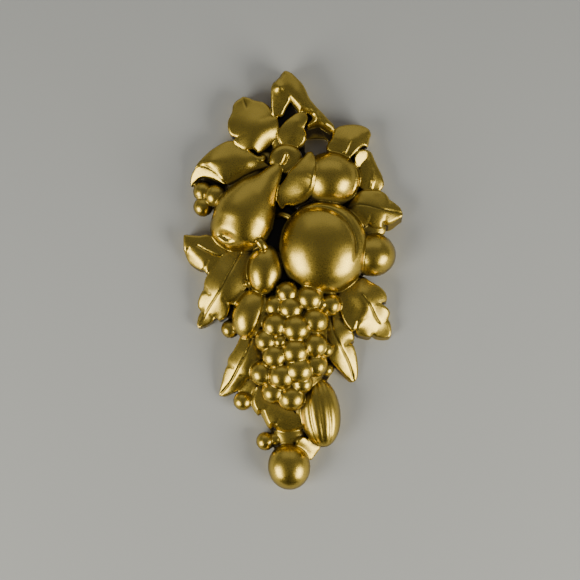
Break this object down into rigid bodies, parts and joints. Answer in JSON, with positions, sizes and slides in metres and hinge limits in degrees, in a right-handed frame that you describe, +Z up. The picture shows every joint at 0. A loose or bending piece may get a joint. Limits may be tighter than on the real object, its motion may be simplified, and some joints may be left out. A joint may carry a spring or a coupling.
{
  "type": "wall plaque",
  "caption": "Moulded wall plaque of clustered fruit, grapes and leaves under a cut branch, painted satin gold, with a flat back.",
  "frame": {"origin": "hanging point on the flat back, near the top and above the centre of mass", "axes": "+Z up along the plaque's length, +Y out of the flat back into the wall, so the relief faces -Y"},
  "size_m": [0.1753, 0.042, 0.3293],
  "materials": {
    "gold_paint": "satin metallic gold paint, slightly speckled, darker in the creases"
  },
  "bodies": {
    "root": {"fruit_relief": "gold_paint"}
  },
  "joints": []
}
